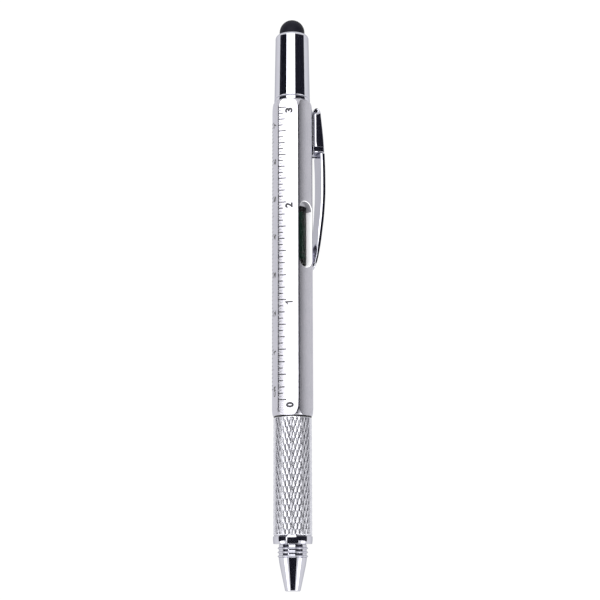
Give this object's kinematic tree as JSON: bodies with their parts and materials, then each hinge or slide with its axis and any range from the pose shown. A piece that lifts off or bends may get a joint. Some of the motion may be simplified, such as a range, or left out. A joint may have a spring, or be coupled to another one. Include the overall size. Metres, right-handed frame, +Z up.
{
  "type": "multi tool pen",
  "caption": "Hexagonal twist ballpoint pen with printed inch and centimetre scales, a bubble level, pocket clip, rubber stylus dome and a screwdriver bit under the cap.",
  "frame": {"origin": "centre of the bounding box's bottom face: the pen lies on a surface at z = 0, on one corner of its barrel and the outer edge of its clip", "axes": "+X along the pen from the writing tip to the stylus dome, +Z up from the surface that it lies on, and the inch scale faces up, 13.2 degrees away from +Z towards +Y"},
  "size_m": [0.1484, 0.014, 0.0104],
  "materials": {
    "satin_silver": "satin anodised, with printed black scales",
    "bright_chrome": "polished plating",
    "spring_steel": "plain drawn steel",
    "dark_tool_steel": "hardened, dark oxide",
    "plain_brass": "turned, unplated",
    "black_rubber": "smooth, slightly glossy",
    "black_plastic": "moulded",
    "clear_vial": "clear acrylic",
    "green_fluid": "dark green liquid, stored as a solid",
    "blue_ink": "thick ink, stored as a solid"
  },
  "bodies": {
    "barrel": {"hex_barrel": "satin_silver", "clip_head": "bright_chrome", "vial_tube": "clear_vial", "vial_fluid": "green_fluid", "vial_plug_lower": "black_plastic", "vial_plug_upper": "black_plastic", "cam_sleeve": "plain_brass", "retaining_ring": "spring_steel", "bit_holder": "bright_chrome", "cap_seal_ring": "black_rubber", "screwdriver_bit": "dark_tool_steel"},
    "grip": {"grip": "bright_chrome", "drive_tube": "spring_steel", "grip_seal_ring": "black_rubber"},
    "refill": {"refill_carrier": "black_plastic", "follower_pin": "spring_steel", "refill_tube": "spring_steel", "refill_point": "plain_brass", "writing_ball": "dark_tool_steel", "refill_ink": "blue_ink"},
    "nose": {"nose_cone": "bright_chrome"},
    "cap": {"cap": "bright_chrome", "stylus_dome": "black_rubber", "stylus_insert": "plain_brass"},
    "clip": {"clip_arm": "bright_chrome"}
  },
  "joints": [
    {"name": "grip_twist", "type": "hinge", "parent": "barrel", "child": "grip", "pos_m": [-0.03143, 0.00166, 0.00521], "axis": [1, 0, 0], "range_deg": [0, 180]},
    {"name": "refill_advance", "type": "slide", "parent": "grip", "child": "refill", "axis": [-1, 0, 0], "range_m": [0, 0.0051]},
    {"name": "nose_unscrew", "type": "slide", "parent": "grip", "child": "nose", "axis": [-1, 0, 0], "range_m": [0, 0.025]},
    {"name": "cap_pull", "type": "slide", "parent": "barrel", "child": "cap", "axis": [1, 0, 0], "range_m": [0, 0.025]},
    {"name": "clip_flex", "type": "hinge", "parent": "barrel", "child": "clip", "pos_m": [0.03757, -0.00552, 0.00304], "axis": [0, -0.2888, 0.9574], "range_deg": [0, 5], "stiffness_Nm_per_rad": 3}
  ],
  "couplings": [
    {"joint": "refill_advance", "follows": "grip_twist", "m_per_rad": 0.0015915}
  ]
}
